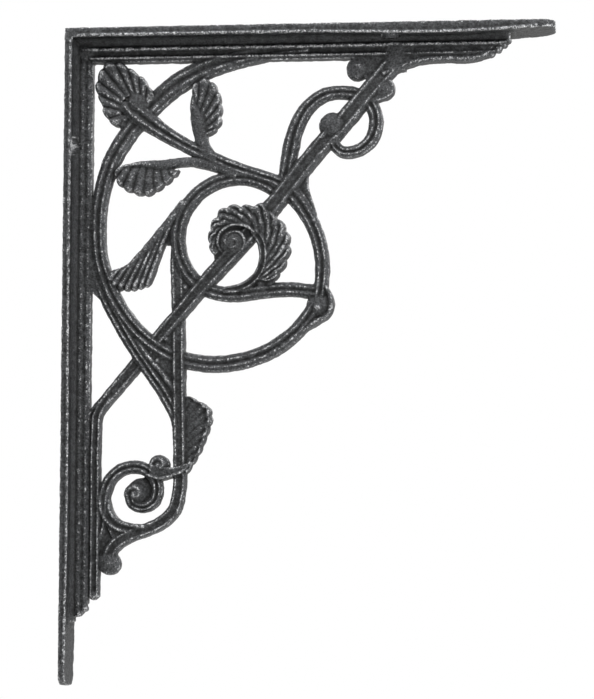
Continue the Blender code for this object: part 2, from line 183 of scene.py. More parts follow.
def through(points, spacing=curve_spacing):
    """A smooth curve through given points, as close-set rows of the same values."""
    rows = np.array(points, dtype=float)
    chords = np.linalg.norm(np.diff(rows[:, :2], axis=0), axis=1)
    slopes = np.gradient(rows, np.concatenate(([0], np.cumsum(chords))), axis=0)
    places = []
    for i, chord in enumerate(chords):
        for step in range(math.ceil(chord / spacing)):
            t = step / math.ceil(chord / spacing)
            places.append(rows[i] * (1 + 2 * t) * (1 - t) ** 2 + slopes[i] * chord * t * (1 - t) ** 2
                          + rows[i + 1] * t * t * (3 - 2 * t)
                          - slopes[i + 1] * chord * t * t * (1 - t))
    places.append(rows[-1])
    return np.array(places)


def evenly(points, count):
    """The same curve cut into a number of equal steps."""
    rows = through(points)
    steps = np.linalg.norm(np.diff(rows[:, :2], axis=0), axis=1)
    along = np.concatenate(([0], np.cumsum(steps)))
    at = np.linspace(0, along[-1], count + 1)
    return np.column_stack([np.interp(at, along, column) for column in rows.T])


def ridge(u, at, width):
    """A narrow ridge across a bar, one high where it stands."""
    return math.exp(-((u - at) / width) ** 2)


def round_over(u):
    """A quarter circle's height, from one in the middle down to nothing at the edge."""
    return math.sqrt(max(0.0, 1 - u * u))


def rounded_flat(u, flat, start, width, fall):
    """Height share across a bar that is flat in the middle and rounds over from start outwards."""
    if u < start:
        return flat
    return bar_edge_share + fall * math.sqrt(max(0.0, 1 - ((u - start) / width) ** 2))


def twin_beads(u):
    """Height share across a bar with two narrow beads, a groove between them and a fine lip outside."""
    body = rounded_flat(u, 0.76, 0.75, 0.25, 0.3)
    return body + 0.24 * ridge(u, 0.42, 0.22) + 0.05 * ridge(u, 0.86, 0.09)


def ridged(u):
    """Height share across a flat bar with a thin ridge towards each edge."""
    body = rounded_flat(u, 0.82, 0.7, 0.3, 0.36)
    return body + 0.18 * ridge(u, 0.58, 0.13)


def half_round(u):
    """Height share across a plain bar."""
    return 0.55 + 0.45 * round_over(u)


def edge_bead(u):
    """Height share across the fine bead that stands up along a plate's inner edge."""
    return 0.95 + 0.05 * round_over(u)


def bar(casting, points, width, top, shape=twin_beads):
    """A bar along given points, whose height goes by the shape from its middle to its edges."""
    rows = through([(p[0], p[1], width * (p[2] if len(p) > 2 else 1), p[3] if len(p) > 3 else top)
                    for p in points])
    along = np.gradient(rows[:, :2], axis=0)
    along /= np.linalg.norm(along, axis=1)[:, None]
    bm = bmesh.new()
    made = bmesh.ops.create_grid(bm, x_segments=len(rows) - 1, y_segments=bar_strips,
                                 size=0.5)
    for vert in made["verts"]:
        place = round((vert.co.x + 0.5) * (len(rows) - 1))
        x, z, wide, rise = rows[place]
        u = 2 * vert.co.y
        vert.co = (x - along[place][1] * wide / 2 * u, -rise * shape(abs(u)),
                   z + along[place][0] * wide / 2 * u)
    both_faces(casting, bm)


def boss(casting, centre, radius, top, swirl=0.0, brow=2.4):
    """A round boss on both faces; swirl sinks a curled furrow into it, a lower brow rounds it off."""
    bm = bmesh.new()
    bmesh.ops.create_uvsphere(bm, u_segments=boss_segments, v_segments=boss_rings, radius=1.0)
    for vert in bm.verts:
        x, y, z = vert.co
        out = math.hypot(x, y)
        turn = math.atan2(y, x)
        rise = top * (0.35 + 0.65 * math.sqrt(max(0.0, 1 - out ** brow)))
        wave = 0.5 + 0.5 * math.cos(turn - out * curl_turn)
        rise -= swirl * top * wave * min(1.0, out * 2) * (1 - out ** 4)
        # Both faces reach their height at once, so that the flanks stand steep
        side = max(-1.0, min(1.0, z * 4))
        vert.co = (centre[0] + radius * x, -rise * side, centre[1] + radius * y)
    add_shape(casting, bm)


def frond(casting, spine, rim, lobes, heel=3.2, top=4.0, flute=1.5, notch=1.2, slant=0.0, lip=0.3):
    """A fluted leaf from its spine out to its rim, with a scallop of the rim to each rib.

    Slant carries the ribs along the leaf on their way out, by a share of its length; the lip is a
    fine ridge along the rim.
    """
    count = lobes * lobe_steps
    inner, outer = evenly(spine, count), evenly(rim, count)
    bm = bmesh.new()
    made = bmesh.ops.create_grid(bm, x_segments=count, y_segments=leaf_strips, size=0.5)
    for vert in made["verts"]:
        place = round((vert.co.x + 0.5) * count)
        out = vert.co.y + 0.5
        step = outer[place] - inner[place]
        reach = max(0.1, float(np.hypot(*step)))
        phase = place / count * lobes + slant * lobes * (1 - out)
        rib = abs(math.sin(math.pi * phase)) ** 0.6
        tip = abs(math.sin(math.pi * place / count * lobes)) ** 0.6
        x, z = inner[place] + step * out * (1 - min(notch, reach * 0.3) * (1 - tip) / reach)
        # Up from the heel, fluted more and more, with the lip near the rim, and rounded over at the rim
        rise = heel + (top - heel) * math.sin(math.pi / 2 * min(1.0, out * 1.3))
        rise += flute * (rib - 0.62) * min(1.0, 0.35 + 1.2 * out)
        rise += lip * ridge(out, 0.9, 0.07)
        rise *= min(1.0, 0.5 + 0.5 * math.sqrt(min(1.0, (1 - out) * 9)))
        vert.co = (x, -max(rise, leaf_edge_height), z)
    both_faces(casting, bm)


def plates(casting):
    """The two plates as one bent strip, thinner and rounded in plan at both free ends."""
    foot = -wall_height
    outline = [(0, 0), (0, foot), (tongue_thickness, foot),
               (wall_thickness, foot + wall_tongue_length), (wall_thickness, -shelf_thickness),
               (shelf_length - shelf_tongue_length, -shelf_thickness),
               (shelf_length, -tongue_thickness), (shelf_length, 0)]
    bm = pushed([(x, -plate_width / 2, z) for x, z in outline], (0, plate_width, 0))
    corners = []
    for edge in bm.edges:
        a, b = (vert.co for vert in edge.verts)
        if abs(a.y - b.y) < 1 and (max(a.z, b.z) < foot + 1 or min(a.x, b.x) > shelf_length - 1):
            corners.append(edge)
    bmesh.ops.bevel(bm, geom=corners, offset=tongue_corner, offset_type="OFFSET",
                    segments=tongue_corner_steps, profile=0.5, affect="EDGES", material=-1)
    add_shape(casting, bm)


def border_section(thickness, pitch, relief):
    """Half of the moulded border, from inside the plate out to the rim."""
    rim = thickness + pitch * rim_pitches + bead_half_width
    first = thickness + pitch
    second = first + pitch * fine_bead_pitches
    cove_end = first - bead_half_width
    points = [(thickness - cove_root, cove_depth), (thickness, cove_depth)]
    for step in range(1, cove_steps + 1):
        turn = math.pi / 2 * step / cove_steps
        points.append((thickness + (cove_end - thickness) * math.sin(turn),
                       border_edge + (cove_depth - border_edge) * (1 - math.sin(turn))
                       * (0.4 + 0.6 * math.cos(turn))))
    x = cove_end
    while x < rim:
        broad = math.sqrt(max(0.0, 1 - ((x - first) / bead_half_width) ** 2))
        fine = math.sqrt(max(0.0, 1 - ((x - second) / (bead_half_width * fine_bead_share)) ** 2))
        height = border_edge + relief * max(broad, fine_bead_relief * fine, ledge_relief)
        points.append((x + bead_gap, height))
        x += bead_spacing
    points.append((rim, border_edge * rim_share))
    return points


def run(section, place, start, end):
    """A border's cross-section pushed from start to end; place gives a corner's position."""
    outline = section + [(x, -y) for x, y in reversed(section)]
    step = Vector(place(0, 0, end)) - Vector(place(0, 0, start))
    return pushed([place(x, y, start) for x, y in outline], step)


def trim(bm, spot, normal):
    """Cut away what lies beyond a plane and close the cut."""
    cut = bmesh.ops.bisect_plane(bm, geom=bm.verts[:] + bm.edges[:] + bm.faces[:], plane_co=spot,
                                 plane_no=normal, clear_outer=True)
    edges = [item for item in cut["geom_cut"] if isinstance(item, bmesh.types.BMEdge)]
    bmesh.ops.contextual_create(bm, geom=edges)


def stepped_runs(section, place, mitre, stops):
    """A border in short runs, each trimmed at its own depth, so that its end goes down in steps."""
    runs = []
    for depth, end in stops:
        inside = [(x, y) for x, y in section if x < depth]
        inside.append((depth, inside[-1][1]))
        bm = run(inside, place, -mitre_lead, end)
        trim(bm, *mitre)
        runs.append(bm)
    return runs


def down_the_wall(x, y, along):
    """Where a corner of the wall border's section stands, this far along."""
    return (x, y, -along)


def under_the_shelf(x, y, along):
    """Where a corner of the shelf border's section stands, this far along."""
    return (along, y, -x)


def borders(casting):
    """The moulded border along each plate, mitred in the corner and stepped at its free end."""
    wall_section = border_section(wall_thickness, wall_bead_pitch, wall_bead_relief)
    shelf_section = border_section(shelf_thickness, shelf_bead_pitch, shelf_bead_relief)
    wall_rim, shelf_rim = wall_section[-1][0], shelf_section[-1][0]
    diagonal = Vector((shelf_rim, 0, wall_rim))
    wall_end = wall_height - wall_tongue_length
    shelf_end = shelf_length - shelf_tongue_length

    # Each run of a border: how deep it reaches from the plate's outer face, and where it ends
    stops = [(wall_rim, wall_end - 11.0), (11.2, wall_end - 7.4), (9.7, wall_end - 6.3),
             (7.2, wall_end - 4.9), (5.4, wall_end - 2.6), (wall_thickness + 0.4, wall_end)]
    for bm in stepped_runs(wall_section, down_the_wall, ((mitre_lap, 0, 0), diagonal), stops):
        add_shape(casting, bm)

    stops = [(shelf_rim, shelf_end - 12.4), (13.2, shelf_end - 9.4), (11.4, shelf_end - 6.4),
             (9.2, shelf_end - 4.2), (7.2, shelf_end - 2.4), (shelf_thickness + 0.4, shelf_end)]
    for bm in stepped_runs(shelf_section, under_the_shelf, ((-mitre_lap, 0, 0), -diagonal), stops):
        add_shape(casting, bm)
    # The fine bead along the inner edge of each plate, on both faces
    half = plate_width / 2
    inside = wall_thickness - edge_bead_inset
    bar(casting, [(inside, -6), (inside, -100), (inside, -wall_end), (inside - 0.4, 10 - wall_height)],
        edge_bead_width, half + wall_edge_rise, edge_bead)
    inside = shelf_thickness - edge_bead_inset
    bar(casting, [(6, -inside), (100, -inside), (shelf_end, -inside), (shelf_length - 8, 0.9 - inside)],
        edge_bead_width, half + shelf_edge_rise, edge_bead)
    # The steps' rounded corners, and the soft fillet inside the mitre
    for x, z, radius in ((198, -13.2, 2.1), (201.6, -11.4, 1.8), (204.2, -9.4, 1.7),
                         (206.2, -7.4, 1.5), (10.4, -269.8, 1.6), (7.8, -272.2, 1.5),
                         (14.6, -263.6, 2.5)):
        boss(casting, (x, z), radius, 4.0)
    boss(casting, (8.4, -9.6), 5.6, 4.6)
    # The strip that leaves the strut and runs down beside the wall's border
    bar(casting, [(22.6, -170.2, 0.8, 3.4), (17.6, -176.4, 0.95), (15.3, -181.2), (14.9, -188),
                  (14.8, -225), (14.8, -264.4)], 4.9, 4.3, ridged)


def strutwork(casting):
    """The straight strut, the collar at its head and the knot that loops round it."""
    bar(casting, [(13, -181.4, 0.9, 3.4), (20, -173.2, 0.95, 3.9), (33, -157.8, 1, 3.7),
                  (40, -149.5, 1, 3.9), (47, -141.2, 1, 4.7), (54, -133), (61, -124.6, 1.07),
                  (84, -98.8, 1.33), (100, -79.8, 1.3), (113, -63.2, 1.3), (126, -48, 1.3)],
        6.6, 4.8, ridged)
    bar(casting, [(122, -53.8), (137, -35.8), (151.5, -18.8)], 9.0, 4.7, ridged)
    bar(casting, [(101.5, -75, 0.8), (103.2, -67, 1.05), (105.2, -56, 1.15), (107.8, -46.5, 1.1),
                  (113.3, -37.2), (121, -31.8, 0.95), (130, -30.8, 0.95), (138.3, -33, 0.95),
                  (143.4, -38.5), (144.8, -46), (142.2, -53.6, 0.95), (136, -58.3, 0.85),
                  (128.7, -58.5, 0.8), (124.8, -54, 0.8), (124.6, -48, 0.8)], 6.6, 3.8)
    boss(casting, (124.6, -46.6), 6.4, 5.4, brow=1.8)
    boss(casting, (136.2, -20.0), 5.4, 4.6)
    boss(casting, (136.8, -19.2), 2.5, 5.1)
    boss(casting, (148.3, -29.5), 5.4, 4.8, brow=1.8)
    web(casting, [(133.6, -14), (161, -12), (160.6, -18), (155.6, -21.2), (152.4, -23.4),
                  (150, -27), (144, -28), (137, -22)], 3.6)
    bar(casting, [(154.4, -9.6), (154, -14), (153.2, -20.6, 0.9)], 12.6, 4.7, half_round)
    web(casting, [(139, -36), (146, -23), (153, -26.6), (152.6, -32.4), (149, -34.4), (145, -35.6)],
        3.9)
    # The plain field beyond the collar, and the bead below it
    web(casting, [(156, -11), (199, -11), (196.4, -14.4), (156, -17)], 4.15)
    bar(casting, [(148, -22.8, 0.7), (154, -20.6), (161, -17.6), (169, -16.1), (180, -15.8),
                  (190, -15.8), (196.8, -14, 0.8)], 3.0, 4.6, half_round)


def rings(casting):
    """The great scroll, the ring inside it and the side strand that crosses the strut."""
    bar(casting, [(113, -9.6), (97, -10.9, 1.15), (80, -13.9, 1.3), (65, -18.5, 1.38),
                  (52, -25.2, 1.4, 3.8), (38.8, -36.8, 1.32, 3.6), (28.5, -49, 1.22, 3.8),
                  (20.6, -62.5, 1.14), (16.2, -78, 1.06), (14.9, -93), (16.1, -108), (20.9, -122.5),
                  (28, -134.5, 1, 4.3), (37.5, -145, 1, 4.6), (50.5, -153.3, 1.05, 4.2),
                  (66, -157.1, 1.1), (82, -156, 1.1), (96.5, -150.8, 1.08), (109, -141.3, 1.05),
                  (117.5, -130)], 7.0, 4.1)
    centre, radius = (80.7, -98.5), 28.3
    ring = []
    for step in range(12):
        turn = math.radians(43 + step * 17.4)
        ring.append((centre[0] + radius * math.cos(turn), centre[1] + radius * math.sin(turn)))
    ring += [(72.5, -124.4), (81, -124.8), (92, -123.4), (104, -122.7), (117, -124)]
    bar(casting, ring, 6.8, 3.7)
    bar(casting, [(12.4, -108, 0.6, 3.2), (15.2, -118, 0.8, 3.4), (18.8, -126.5, 0.9, 3.6),
                  (24.5, -137, 1, 3.9), (32, -149.5, 1, 4.5), (40, -161.3, 1, 4.3), (47.5, -172.5),
                  (52.4, -182.5), (53.6, -194, 0.8, 3.2)], 5.8, 3.9)
    bar(casting, [(33, -145.6, 0.6, 3.6), (36, -149.6), (39.7, -154.6), (44.9, -160.5),
                  (49.2, -166.1), (52, -170.6, 0.6)], 3.0, 4.2, half_round)
    # The bud on the side, held in the turned end of the great scroll
    boss(casting, (118.8, -130.4), 6.2, 4.2)
    boss(casting, (117.9, -131.6), 2.6, 4.9)
    bar(casting, [(110.4, -143, 0.5, 3.6), (114.4, -140), (118.6, -137.4), (122.4, -135),
                  (124.2, -131), (123.8, -126.6), (121.6, -121.6, 0.6)], 2.4, 4.7, half_round)
    web(casting, [(11, -98), (15, -98), (16.4, -112), (21.6, -129), (16.2, -127), (11, -122)], 3.1)
    web(casting, [(26, -137), (34, -140), (40, -147.4), (50, -136.8), (54, -138), (54, -178),
                  (38.5, -155), (30, -146)], 3.2)
    web(casting, [(52, -98), (55, -114), (66, -119), (53, -133)], 2.1)
    boss(casting, (47.2, -145.6), 1.9, 4.6, swirl=0.2)
    boss(casting, (55.9, -121.4), 1.7, 2.9, swirl=0.2)
    boss(casting, (43.4, -155.6), 1.2, 4.3)
    web(casting, [(46.4, -101.2), (50.6, -101.6), (54, -90), (48, -90)], 2.15)


def vine(casting):
    """The vine with its four leaves, from the corner leaf round to the side bud."""
    bar(casting, [(28.2, -34.8, 1.3, 4.6), (31.6, -38.2, 1.6, 4.9), (38, -43.2, 1.45, 4.8),
                  (48, -50, 1.15, 4.4), (58, -55.8), (68, -60.6, 0.95), (79, -65.4, 0.95),
                  (90, -69.2, 0.95), (99.5, -72.8), (107, -79.5, 1.35), (112.8, -87.8, 1.2),
                  (117.8, -99, 1.1), (119.9, -111, 1.1), (119.3, -122, 1.05), (117.8, -131)],
        6.2, 4.0)
    bar(casting, [(26, -64.6, 0.3, 3.6), (33.5, -63.4, 0.5), (40, -63.7, 0.9), (45.5, -64, 1.05),
                  (51, -62.9, 0.9), (58, -62.4, 0.85), (66, -63.8, 0.95), (74, -66.5, 0.95),
                  (80, -69)], 4.8, 3.9, half_round)
    bar(casting, [(55.4, -81.5, 0.7), (50.2, -88.5, 0.8), (43.4, -97, 0.8), (37, -104.4, 0.7),
                  (29, -112.2, 0.5)], 5.4, 3.9, half_round)
    bar(casting, [(59.4, -30.6, 0.3, 3.6), (59.6, -36, 0.7), (60.9, -40.3, 1.15), (62, -44.4, 1.4),
                  (62.8, -48.6, 1.35), (63.5, -53, 1.15), (65.5, -58, 1.3), (70, -62.5, 1)],
        5.2, 3.9, half_round)
    web(casting, [(105, -73), (110, -66), (113.6, -67.4), (113, -74), (115, -80.6), (117.4, -88),
                  (110, -84)], 2.25)
    boss(casting, (33.4, -34.4), 5.4, 4.9)
    boss(casting, (27.6, -36.6), 3.6, 4.3)
    boss(casting, (26.4, -44.4), 2.4, 3.6)
    boss(casting, (26.9, -41.8), 2.4, 3.8)
    # The corner leaf, like a hood over the head of the vine
    frond(casting, [(26.1, -42.6), (25.2, -38.3), (25.8, -34.1), (28.2, -31.6), (32.5, -31.9),
                    (36, -34), (38.2, -36.4)],
          [(24, -46), (19.8, -43.2), (16.6, -38.6), (15.6, -34), (13.7, -30.2), (12.9, -25.4),
           (14.2, -20.8), (16.2, -16.4), (19.6, -14.6), (24, -14.8), (28.2, -16.8), (32, -19.4),
           (35.4, -22), (38, -25.4), (39.6, -28), (42, -31)], 10, heel=3.6, top=4.4, flute=1.8)
    # The upper leaf, below its stalk
    frond(casting, [(26.4, -64.4), (31, -64.3), (36.1, -65), (42, -66.2), (48, -66), (52.2, -66.4)],
          [(23.4, -65.2), (22.4, -69), (24.4, -73.1), (28.2, -76), (33, -77.8), (37.4, -78.4),
           (41.4, -77), (45, -74.6), (48.8, -71.6), (51.4, -69), (53.4, -66)], 8, heel=3,
          slant=0.06)
    # The hanging leaf, to the right of its stalk
    frond(casting, [(59.6, -33), (61.3, -37.5), (63.7, -40.8), (65.2, -43.9), (65.8, -47), (65.2, -50)],
          [(58.3, -29), (61, -24.6), (65.4, -23.2), (69.4, -25.6), (71.7, -30), (72.8, -34.6),
           (72.8, -39.6), (72.6, -44), (70.6, -47.6), (66.6, -50)], 7, heel=3, slant=-0.08)
    # The lower leaf, with long ribs that run steeply down from its stalk
    frond(casting, [(51.5, -86.5), (45, -94.5), (39, -101.4), (33, -107), (27, -111.4), (22, -113)],
          [(39.8, -120), (37, -121.4), (33.6, -122.4), (30, -123), (26, -122.6), (22.4, -121),
           (19.2, -116.8)], 7, heel=3, notch=1.4, lip=0.5)


def shell(casting):
    """The curl in the middle of the inner ring and the shell that fans out of it."""
    frond(casting, [(89.8, -118.4), (92, -114.1), (93, -109.4), (93.2, -104.4), (92, -99.6),
                    (89, -96), (84.9, -93.4), (80.1, -92.7), (75.8, -94), (72.4, -97), (71, -101),
                    (72, -105.4)],
          [(96.6, -119.6), (101.6, -114.2), (104.6, -107.1), (105.4, -102.8), (105, -98.6),
           (103.4, -93.8), (100.2, -89.6), (96.9, -86.6), (93.8, -83.2), (90.4, -82.2),
           (87.4, -83.4), (83.6, -82.8), (79.6, -82.8), (75.4, -83.4), (71.8, -85.6),
           (69.6, -88.8), (67.6, -92.6), (66.6, -97.6), (67, -102.6), (69.6, -107.4)],
          13, heel=4.2, top=5.0, flute=1.5, notch=1.6, slant=0.2)
    bar(casting, [(74, -123.2, 0.8, 3.9), (82, -121.9, 1, 4.4), (87.6, -118.6, 1, 5), (91.4, -113.6),
                  (92.6, -107), (91.6, -100.6), (88, -95.6, 0.9)], 4.2, 5.2, ridged)
    boss(casting, (78.2, -100.1), 7.6, 5.6)
    bar(casting, [(88.6, -96.4, 0.8, 5.4), (85.4, -93.8), (80.8, -92.8), (76, -93.8), (72.4, -97),
                  (71.4, -101.2, 0.9, 5.4), (73.4, -105.4, 0.8, 4.4), (77.8, -106.8, 0.8, 4.2),
                  (82, -105.2, 0.8, 4.6), (84, -101.2, 0.9, 5.3), (82.8, -97.4, 0.9, 5.75),
                  (79.2, -95.9, 0.9, 5.8), (75.9, -97.6, 0.9, 5.8), (75.1, -101, 0.8, 5.8),
                  (77.2, -103.4, 0.8, 5.85), (80.2, -102.4, 0.8, 5.9), (80.2, -99.8, 0.7, 5.9),
                  (78.2, -99.4, 0.6, 5.9)], 1.7, 6.0, half_round)
    boss(casting, (72.4, -107.4), 3.0, 4.2)
    boss(casting, (95.4, -119.8), 2.6, 3.8)
    boss(casting, (91.6, -119.8), 2.6, 3.8)


def stem(casting):
    """The tall stem down to the foot, its leaf, the small scroll and its buds."""
    bar(casting, [(53.4, -90, 0.9, 2.9), (52.2, -104, 1, 2.9), (52.6, -125, 1, 2.9),
                  (53, -139, 1, 3.1), (53.2, -148, 1, 4.7), (53.4, -165, 1, 4.8),
                  (53.8, -186, 1, 4.4), (54.1, -205), (53.7, -217), (51.3, -225.2), (46, -230.4),
                  (38.4, -233.9), (30, -237), (23.6, -241.6), (20.4, -249)], 6.2, 4.2, ridged)
    web(casting, [(12, -212), (17, -212), (20, -218), (22.4, -224.5), (26.6, -229.6), (31.4, -231.4),
                  (36.5, -232), (44, -230.8), (38, -235), (25, -241), (22, -252), (12, -252)], 2.4)
    web(casting, [(19, -214), (20, -218), (22.4, -224.5), (26.6, -229.6), (31.4, -231.4),
                  (36.5, -232), (44, -230.8), (38, -235), (25, -241), (22.4, -236), (19.4, -229.6),
                  (18, -222)], 3.6)
    bar(casting, [(17.3, -216, 0.6, 3.4), (17.2, -221), (18.3, -226.4), (21.4, -230.8), (26, -233.8),
                  (32, -234.8, 0.6, 3.6)], 2.0, 4.5, half_round)
    bar(casting, [(14.6, -241, 0.7, 3.4), (17.4, -233, 0.9, 3.8), (18.4, -225), (19.2, -216.5),
                  (22.8, -209.2), (29, -205.2), (36, -205.1), (41.6, -208.8, 0.95),
                  (43.9, -215, 0.9), (42, -221.2, 0.85), (36.8, -223.6, 0.8), (32, -221.6, 0.8),
                  (31, -217.5, 0.8)], 6.0, 4.1)
    bar(casting, [(20.9, -219, 0.6, 3.4), (22, -225.2), (25.8, -230), (31, -231.8), (36.6, -232.4),
                  (43, -231.4, 0.7, 3.4)], 2.4, 4.4, half_round)
    boss(casting, (21.8, -249.3), 5.4, 4.6, swirl=0.06)
    boss(casting, (44.6, -204), 4.9, 5.4, swirl=0.34)
    boss(casting, (33.4, -217.4), 5.2, 5.0, swirl=0.28)
    boss(casting, (36.8, -217.2), 7.6, 2.1)
    # The bridge from the bud across the stem to the leaf's rim
    web(casting, [(40.5, -204), (46, -205), (52, -205.4), (57.4, -203.6), (57.8, -206.6),
                  (51.2, -209.2), (44.6, -210.2), (40.5, -208.8)], 4.5)
    bar(casting, [(38.8, -208.4, 0.6), (44.4, -210), (50.8, -208.8), (56, -206.6),
                  (59.4, -202.6, 0.7, 4.4)], 1.9, 5.0, half_round)
    frond(casting, [(55.6, -172.6), (55.8, -184), (56, -196), (56.2, -207.6)],
          [(58.4, -172), (63.6, -174.6), (68.2, -177.4), (69.2, -182), (68, -188), (66, -193.4),
           (63.6, -198.8), (60.8, -203.4), (57.6, -208)], 9, heel=2.9, top=3.3, flute=0.55,
          notch=0.8, slant=-0.2, lip=1.1)


def screw_cutter(seat, direction, side):
    """A bore through a plate, opening into a countersink and a clear way for the screw's head."""
    slope = (screw_head - screw_bore) / 2
    levels = [(-head_clearance, 0), (-head_clearance, screw_bore / 2),
              (head_seat - slope, screw_bore / 2), (head_seat, screw_head / 2),
              (head_clearance, screw_head / 2), (head_clearance, 0)]
    bm = bmesh.new()
    verts = [bm.verts.new((radius, 0, level)) for level, radius in levels]
    edges = [bm.edges.new(pair) for pair in zip(verts, verts[1:])]
    bmesh.ops.spin(bm, geom=verts + edges, cent=(0, 0, 0), axis=(0, 0, 1), dvec=(0, 0, 0),
                   angle=2 * math.pi, steps=screw_steps, use_merge=True)
    bmesh.ops.remove_doubles(bm, verts=bm.verts, dist=merge_distance)
    turn = Vector(direction).to_track_quat("Z", "Y").to_matrix().to_4x4()
    spot = Matrix.Translation(Vector(seat) + Vector((0, side * screw_offset, 0)))
    bmesh.ops.transform(bm, matrix=spot @ turn, verts=bm.verts)
    return bm


def apply(thing):
    """Take the object's modifiers into its mesh."""
    bpy.context.view_layer.update()
    view = bpy.context.evaluated_depsgraph_get()
    mesh = bpy.data.meshes.new_from_object(thing.evaluated_get(view))
    thing.modifiers.clear()
    old = thing.data
    thing.data = mesh
    bpy.data.meshes.remove(old)


def one_skin(casting):
    """Run the shapes together into one skin, with the small fillets that a casting has."""
    mesh = bpy.data.meshes.new("casting")
    casting.to_mesh(mesh)
    casting.free()
    thing = bpy.data.objects.new("casting", mesh)
    bpy.context.scene.collection.objects.link(thing)
    remesh = thing.modifiers.new("skin", "REMESH")
    remesh.mode = "VOXEL"
    remesh.voxel_size = voxel
    soften = thing.modifiers.new("fillets", "SMOOTH")
    soften.factor = 0.5
    soften.iterations = 2
    apply(thing)
    return thing


def drill(thing):
    """Cut the four screw holes."""
    cutters = bmesh.new()
    for side in (-1, 1):
        add_shape(cutters, screw_cutter((0, 0, -screw_drop), (1, 0, 0), side))
        add_shape(cutters, screw_cutter((screw_reach, 0, 0), (0, 0, -1), side))
    holes = bpy.data.meshes.new("holes")
    cutters.to_mesh(holes)
    cutters.free()
    tool = bpy.data.objects.new("holes", holes)
    bpy.context.scene.collection.objects.link(tool)
    cut = thing.modifiers.new("holes", "BOOLEAN")
    cut.operation = "DIFFERENCE"
    cut.solver = "EXACT"
    cut.object = tool
    apply(thing)
    bpy.data.objects.remove(tool)


def paint_hole_glints(thing):
    """Paint a highlight round each screw hole: the finish takes its ring for a high ridge and paints it
    bright.
    """
    points, _ = coordinates(thing.data)
    x, y, z = points.T
    across = abs(abs(y) - screw_offset)
    reach = screw_head / 2 + glint_margin
    wall = np.hypot(across, z + screw_drop) < reach
    wall &= (x > glint_start) & (x < wall_thickness + glint_depth)
    shelf = np.hypot(across, x - screw_reach) < reach
    shelf &= (z < -glint_start) & (z > -shelf_thickness - glint_depth)
    # Both attributes are set high on the ring, so the finish paints a bright highlight there
    for name, wear_and_highlight_level in (("relief", glint_relief), ("hollow", glint_hollow)):
        layer = thing.data.attributes[name].data
        values = np.empty(len(points))
        layer.foreach_get("value", values)
        values[wall | shelf] = wear_and_highlight_level
        layer.foreach_set("value", values)


def fewer(thing):
    """Thin the skin where it is flat, down to the number of triangles a piece may have."""
    count = sum(len(face.vertices) - 2 for face in thing.data.polygons)
    thin = thing.modifiers.new("fewer", "DECIMATE")
    thin.ratio = min(1.0, triangle_goal / count)
    apply(thing)


def coordinates(mesh):
    """The mesh's points and their normals as arrays."""
    points = np.empty(len(mesh.vertices) * 3)
    mesh.vertices.foreach_get("co", points)
    normals = np.empty(len(mesh.vertices) * 3)
    mesh.vertex_normals.foreach_get("vector", normals)
    return points.reshape(-1, 3), normals.reshape(-1, 3)


def averaged(mesh, values, rounds):
    """Values at the points, each replaced by its neighbours' mean, a number of times."""
    pairs = np.empty(len(mesh.edges) * 2, dtype=np.int64)
    mesh.edges.foreach_get("vertices", pairs)
    a, b = pairs.reshape(-1, 2).T
    count = np.bincount(a, minlength=len(values)) + np.bincount(b, minlength=len(values))
    for _ in range(rounds):
        total = np.zeros_like(values)
        for axis in range(values.shape[1]):
            total[:, axis] = np.bincount(a, values[b, axis], len(values))
            total[:, axis] += np.bincount(b, values[a, axis], len(values))
        values = total / count[:, None]
    return values


def roughen(thing):
    """Ripples and pebbles of the sand mould, pushed along the skin's normals."""
    points, normals = coordinates(thing.data)
    push = np.empty(len(points))
    for i, point in enumerate(points):
        spot = Vector(point)
        ripple = noise.noise(spot / ripple_size)
        pebble = noise.noise(spot / pebble_size + Vector((pebble_shift, 0, 0)))
        push[i] = ripple * ripple_height + pebble * pebble_height
    points += normals * push[:, None]
    thing.data.vertices.foreach_set("co", points.ravel())
    thing.data.update()


def mark_relief(thing):
    """Attributes high on beads and rims, low in grooves, for the finish's wear, painted highlight and
    shade.
    """
    points, normals = coordinates(thing.data)
    # How far the surroundings reach, in rounds of averaging, and the height in mm that counts as full
    for name, rounds, size in (("relief", 5, 0.1), ("hollow", 24, 0.55)):
        smooth = averaged(thing.data, points, rounds)
        stand = np.einsum("ij,ij->i", points - smooth, normals) / size
        layer = thing.data.attributes.new(name, "FLOAT", "POINT")
        layer.data.foreach_set("value", np.clip(0.5 + 0.5 * stand, 0, 1))


def to_frame(thing):
    """From the drawing's millimetres into the frame, with the wall face and the shelf face in place."""
    thing.data.transform(Matrix.Translation((low.x, 0, high.z)) @ Matrix.Scale(MM, 4))
    thing.data.shade_smooth()


def linear(text):
    """An sRGB hex colour as linear RGBA."""
    values = [int(text[i:i + 2], 16) / 255 for i in (1, 3, 5)]
    return [v / 12.92 if v <= 0.04045 else ((v + 0.055) / 1.055) ** 2.4 for v in values] + [1]


def node(tree, kind, links=(), **settings):
    """Add a node with these settings or input values, fed by (input name or number, output) links."""
    made = tree.nodes.new(kind)
    for name, value in settings.items():
        if hasattr(made, name):
            setattr(made, name, value)
        else:
            made.inputs[name.replace("_", " ")].default_value = value
    for name, source in links:
        tree.links.new(source, made.inputs[name])
    return made


def stretched(tree, source, start, end, bottom, top):
    """A value whose stretch from start to end is laid over bottom to top."""
    made = node(tree, "ShaderNodeMapRange", [("Value", source)])
    made.inputs["From Min"].default_value = start
    made.inputs["From Max"].default_value = end
    made.inputs["To Min"].default_value = bottom
    made.inputs["To Max"].default_value = top
    return made.outputs[0]


